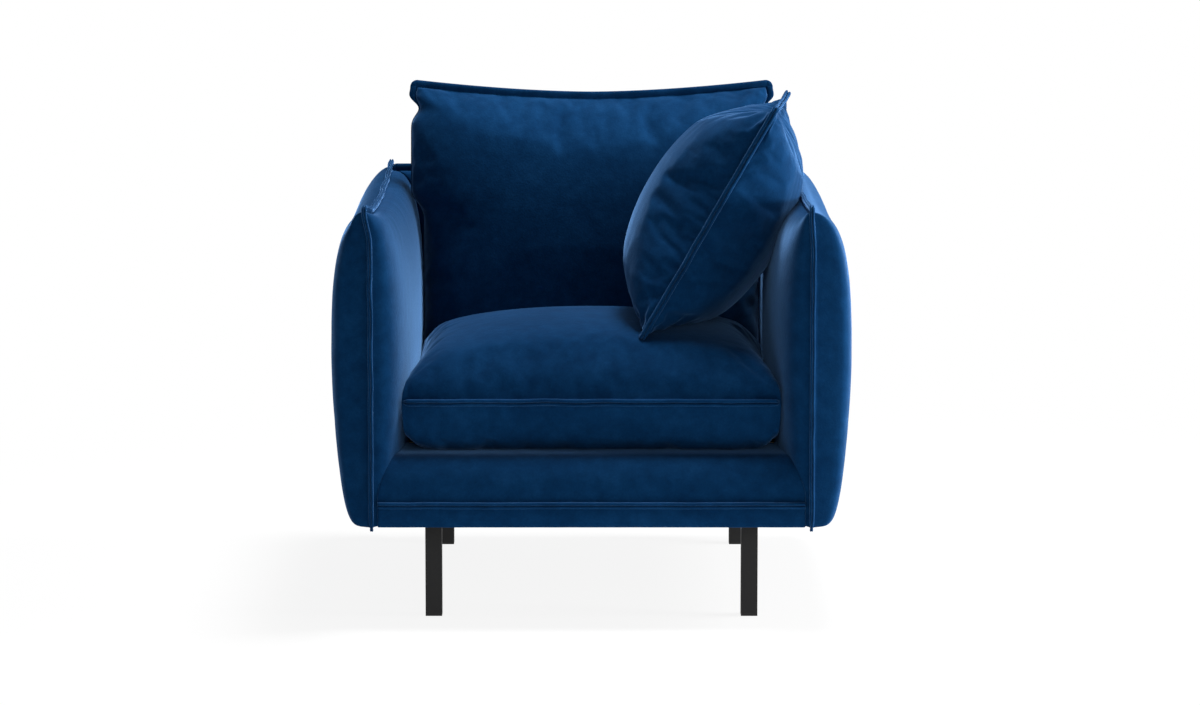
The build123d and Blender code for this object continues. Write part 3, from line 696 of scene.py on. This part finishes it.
def build_seat_cushion():
    half_u = SEAT_HALF_X
    half_v = SEAT_HALF_Y

    def bottom(a, b):
        """Swell below the seam, nearly flat."""
        return (SEAT_SEAM_Z - seat_low[2] - SEAM_HALF) * superround(a, 8.0) * superround(b, 8.0)

    def outline(a, b):
        corner = 1.0 - SEAT_CORNER * (abs(a) * abs(b)) ** 9
        draw = SEAT_DRAW * (1.0 - a * a)
        free_x = arm_inner_x(SEAT_MIDDLE_Y + b * half_v, SEAT_SEAM_Z) - SEAT_SIDE_GAP
        return a * min(free_x, SEAT_FRONT_X) * corner, b * (half_v - draw) * corner

    def lip(a, b):
        """Full lip along the front and the rear, a low one along the sides."""
        if abs(b) > AT_SEAM:
            return smooth_step((1.0 - abs(a)) * half_u / SEAT_FRONT_LIP_END)
        return SEAT_SIDE_LIP * smooth_step((1.0 - abs(b)) * half_v / SEAT_SIDE_LIP_END)

    def dart(a, b, side):
        from_dart = (1.0 - abs(a)) * half_u - DART_PLACE
        near = math.exp(-(from_dart / DART_WIDTH) ** 2) * smooth_step((abs(b) - 0.80) / 0.15)
        return DART_DEPTH * near

    form = Stuffing(
        half_u, half_v, (92, 84), seat_top, bottom, outline, lip=lip, lip_height=1.3,
        pucker=0.0020, pucker_pitch=0.03, pucker_depth=0.05, seed=47.0, creases=(dart,),
    )
    place = axes((0.0, SEAT_MIDDLE_Y, SEAT_SEAM_Z), (1, 0, 0), (0, 1, 0), (0, 0, 1))
    obj = stuffed_mesh("seat_cushion", form, place)
    settle(obj, place, excess=0.02, cap=0.009)
    for vert in obj.data.vertices:
        free_x = arm_inner_x(vert.co.y, vert.co.z) - NEIGHBOUR_GAP
        vert.co.x = clamp(vert.co.x, -free_x, free_x)
        vert.co.y = min(vert.co.y, seat_high[1])
        vert.co.z = max(vert.co.z, seat_low[2])
    return dressed(obj, "seat_cushion", 0.85, "seat_cushion_cover", "seat_cushion_core")


seat_cushion = build_seat_cushion()
bpy.context.view_layer.update()


def seat_level(x, y):
    """Height of the settled seat cushion's top at a place."""
    found, point, _, _ = seat_cushion.ray_cast((x, y, cad_high[2]), (0.0, 0.0, -1.0))
    return point.z if found else seat_low[2]


# Back cushion: leans back, eared at its top corners, pinched below the ears

BACK_LEAN = math.radians(5.5)
# Half width between the arms, swell of either face, and dip of the top edge between the ears
BACK_HALF_X = 0.303
BACK_SWELL = 0.090
BACK_DIP = 0.021
# The upper part spreads over the arms: its height, and the height over which it widens
SPREAD_HEIGHT = 0.235
SPREAD_EASE = 0.05
# Pinch below the ears: depth, distance from the top, half height
PINCH_DEPTH = 0.015
PINCH_PLACE = 0.038
PINCH_HEIGHT = 0.016
# Drawing in of the top corners themselves: depth, height
EAR_DRAW = 0.010
EAR_DRAW_HEIGHT = 0.02
# Lip along the sides, as a share of the one on top, and where the ears' full lip ends
BACK_SIDE_LIP = 0.12
EAR_LIP_END = 0.040
EAR_LIP_EASE = 0.028


def build_back_cushion():
    low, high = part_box("back_cushion_cover")
    tall = (high[2] - low[2]) / math.cos(BACK_LEAN)
    half_v = tall / 2 - LIP_REACH
    wide = (high[0] - low[0]) / 2 - 0.002

    def outline(a, b):
        from_top = (1.0 - b) * half_v
        over_arm = smooth_step((SPREAD_HEIGHT - from_top) / SPREAD_EASE)
        half = BACK_HALF_X + (wide - BACK_HALF_X) * over_arm
        half -= PINCH_DEPTH * math.exp(-((from_top - PINCH_PLACE) / PINCH_HEIGHT) ** 2)
        half -= EAR_DRAW * math.exp(-(from_top / EAR_DRAW_HEIGHT) ** 2)
        dip = BACK_DIP * (1.0 - abs(a) ** 1.7) * smooth_step(b)
        return a * half, b * half_v - dip

    def swell(a, b):
        """Swell of either face, rounder over the top than at the foot."""
        round_off = superround(b, 2.25 if b > 0 else 3.2)
        return (BACK_SWELL - SEAM_HALF) * superround(a, 3.4) * round_off

    def lip(a, b):
        """Full lip along the top, the foot and the ears, nearly none down the sides."""
        if abs(b) > AT_SEAM:
            return 1.0
        from_top = (1.0 - b) * half_v
        ear = smooth_step((EAR_LIP_END - from_top) / EAR_LIP_EASE)
        return BACK_SIDE_LIP + (1.0 - BACK_SIDE_LIP) * ear

    form = Stuffing(
        BACK_HALF_X, half_v, (92, 84), swell, swell, outline, lip=lip,
        pucker=0.0018, pucker_pitch=0.028, pucker_depth=0.06, seed=63.0,
    )
    middle_y = (low[1] + high[1]) / 2
    origin = (0.0, middle_y, (low[2] + high[2]) / 2)
    up = (0, math.sin(BACK_LEAN), math.cos(BACK_LEAN))
    front = (0, -math.cos(BACK_LEAN), math.sin(BACK_LEAN))
    place = axes(origin, (1, 0, 0), up, front)
    obj = stuffed_mesh("back_cushion", form, place)
    settle(obj, place, excess=0.018, cap=0.011)
    for vert in obj.data.vertices:
        if vert.co.z < arm_high[2]:
            free_x = arm_inner_x(vert.co.y, vert.co.z) - NEIGHBOUR_GAP
            vert.co.x = clamp(vert.co.x, -free_x, free_x)
        vert.co.y = clamp(vert.co.y, seat_high[1] + NEIGHBOUR_GAP, high[1])
        vert.co.z = max(vert.co.z, low[2])
    return dressed(obj, "back_cushion", 0.7, "back_cushion_cover", "back_cushion_core")


build_back_cushion()


# Scatter cushion: square, edge-on to the front, leaning on the right arm

SCATTER_LEAN = math.radians(30.0)
SCATTER_TURN = math.radians(5.0)
SCATTER_SIZE = 0.460
SCATTER_CENTRE = (0.2145, -0.087, 0.655)
# Swell of the face towards the sitter and of the one towards the arm, and their roundness
SCATTER_SWELL = 0.116
SCATTER_ARM_SWELL = 0.107
SCATTER_ROUND = 2.05
# How far the sides draw in between the corners, and how far the top rear corner stands out
SCATTER_DRAW = 0.015
SCATTER_EAR = 0.011


def build_scatter_cushion():
    half = SCATTER_SIZE / 2 - LIP_REACH
    up = Vector((math.sin(SCATTER_LEAN), 0, math.cos(SCATTER_LEAN)))
    turn = math.sin(SCATTER_TURN)
    across = math.cos(SCATTER_LEAN)
    back = Vector((turn * across, math.cos(SCATTER_TURN), -turn * math.sin(SCATTER_LEAN)))

    def outline(a, b):
        ear = SCATTER_EAR * clamp(a) ** 6 * clamp(b) ** 6
        u = a * (half - SCATTER_DRAW * (1.0 - b * b)) + ear
        return u, b * (half - SCATTER_DRAW * (1.0 - a * a))

    def swell_of(depth):
        def swell(a, b):
            face = (depth - SEAM_HALF) * superround(a, SCATTER_ROUND)
            return face * superround(b, SCATTER_ROUND)
        return swell

    form = Stuffing(
        half, half, (84, 84), swell_of(SCATTER_SWELL), swell_of(SCATTER_ARM_SWELL), outline,
        lip_height=1.3, pucker=0.0045, pucker_pitch=0.022, pucker_depth=0.06, seed=83.0,
    )
    place = axes(SCATTER_CENTRE, up, back, up.cross(back))
    obj = stuffed_mesh("scatter_cushion", form, place)
    settle(obj, place, excess=0.05, cap=0.016)
    for vert in obj.data.vertices:
        if vert.co.z < arm_high[2]:
            vert.co.x = min(vert.co.x, arm_inner_x(vert.co.y, vert.co.z) - NEIGHBOUR_GAP)
        vert.co.z = max(vert.co.z, seat_level(vert.co.x, vert.co.y) + NEIGHBOUR_GAP)
    return dressed(obj, "scatter_cushion", 0.75, "scatter_cushion_cover", "scatter_cushion_core")


build_scatter_cushion()


# Camera where the photograph was taken from: focal length and middle column in the photograph's
# pixels, tilt down in radians, place in metres

PHOTO_WIDTH = 1200
FOCAL_PIXELS = 4613.0
CENTRE_COLUMN = 591.5
CAMERA_PITCH = 0.1372
CAMERA_PLACE = (0.0, -8.05, 1.515)
camera_data = bpy.data.cameras.new("camera")
camera_data.sensor_width = 36.0
camera_data.lens = FOCAL_PIXELS / PHOTO_WIDTH * camera_data.sensor_width
camera_data.shift_x = (PHOTO_WIDTH / 2 - CENTRE_COLUMN) / PHOTO_WIDTH
camera = bpy.data.objects.new("camera", camera_data)
camera.location = CAMERA_PLACE
camera.rotation_euler = (math.pi / 2 - CAMERA_PITCH, 0.0, 0.0)
bpy.context.scene.collection.objects.link(camera)
bpy.context.scene.camera = camera


# Floor, world and lamps

FLOOR_HALF = 40.0
# Share of white that the floor shows beside the chair, and the distances over which it becomes full
FLOOR_WHITE = 0.88
FADE_START = 0.3
FADE_END = 2.2
WORLD_LIGHT = 0.13


def seen_directly(tree):
    """One for what the camera sees straight or by gloss or glass, nought for scattered light."""
    path = tree.nodes.new("ShaderNodeLightPath")
    total = path.outputs["Is Camera Ray"]
    for kind in ("Is Glossy Ray", "Is Transmission Ray"):
        larger = tree.nodes.new("ShaderNodeMath")
        larger.operation = "MAXIMUM"
        tree.links.new(total, larger.inputs[0])
        tree.links.new(path.outputs[kind], larger.inputs[1])
        total = larger.outputs[0]
    return total


def pale_floor():
    """Floor that fades to white away from the chair and keeps the chair's shadow."""
    bm = bmesh.new()
    bmesh.ops.create_grid(bm, x_segments=2, y_segments=2, size=FLOOR_HALF)
    floor = finished("floor", bm, smooth=False)
    material = bpy.data.materials.new("pale_floor")
    material.use_nodes = True
    tree = material.node_tree
    shader = tree.nodes["Principled BSDF"]
    shader.inputs["Base Color"].default_value = (0.86, 0.86, 0.86, 1.0)
    shader.inputs["Roughness"].default_value = 0.9
    glow = tree.nodes.new("ShaderNodeEmission")
    mix = tree.nodes.new("ShaderNodeMixShader")
    coords = tree.nodes.new("ShaderNodeTexCoord")
    away = tree.nodes.new("ShaderNodeVectorMath")
    away.operation = "LENGTH"
    fade = tree.nodes.new("ShaderNodeMapRange")
    fade.interpolation_type = "SMOOTHSTEP"
    fade.inputs["From Min"].default_value = FADE_START
    fade.inputs["From Max"].default_value = FADE_END
    fade.inputs["To Min"].default_value = FLOOR_WHITE
    tree.links.new(coords.outputs["Object"], away.inputs[0])
    tree.links.new(away.outputs["Value"], fade.inputs["Value"])
    seen = tree.nodes.new("ShaderNodeMath")
    seen.operation = "MULTIPLY"
    tree.links.new(seen_directly(tree), seen.inputs[0])
    tree.links.new(fade.outputs["Result"], seen.inputs[1])
    tree.links.new(seen.outputs[0], mix.inputs["Fac"])
    tree.links.new(shader.outputs["BSDF"], mix.inputs[1])
    tree.links.new(glow.outputs["Emission"], mix.inputs[2])
    tree.links.new(mix.outputs["Shader"], tree.nodes["Material Output"].inputs["Surface"])
    floor.data.materials.append(material)


def white_world():
    """White background that lights the chair only faintly."""
    world = bpy.data.worlds.new("white")
    bpy.context.scene.world = world
    world.use_nodes = True
    tree = world.node_tree
    ground = tree.nodes["Background"]
    strength = tree.nodes.new("ShaderNodeMapRange")
    strength.inputs["To Min"].default_value = WORLD_LIGHT
    strength.inputs["To Max"].default_value = 1.0
    tree.links.new(seen_directly(tree), strength.inputs["Value"])
    tree.links.new(strength.outputs["Result"], ground.inputs["Strength"])
    ground.inputs["Color"].default_value = (1.0, 1.0, 1.0, 1.0)


def area_lamp(name, place, aim, size, power):
    """Soft lamp at a place, aimed at a point, with its power in watts."""
    data = bpy.data.lights.new(name, "AREA")
    data.shape = "RECTANGLE"
    data.size = size[0]
    data.size_y = size[1]
    data.energy = power
    lamp = bpy.data.objects.new(name, data)
    lamp.location = place
    lamp.rotation_euler = (Vector(aim) - Vector(place)).to_track_quat("-Z", "Y").to_euler()
    bpy.context.scene.collection.objects.link(lamp)


pale_floor()
white_world()
area_lamp("key", (3.1, 0.3, 2.2), (0.0, 0.0, 0.55), (1.0, 1.0), 90.0)
area_lamp("top", (0.5, 0.3, 3.9), (0.0, 0.0, 0.5), (1.0, 1.0), 185.0)
area_lamp("side", (3.0, -0.6, 0.5), (0.4, -0.2, 0.45), (0.8, 0.6), 110.0)
area_lamp("front", (0.6, -5.0, 1.9), (0.0, 0.0, 0.5), (2.5, 2.0), 34.0)

bpy.context.scene.view_settings.view_transform = "Standard"
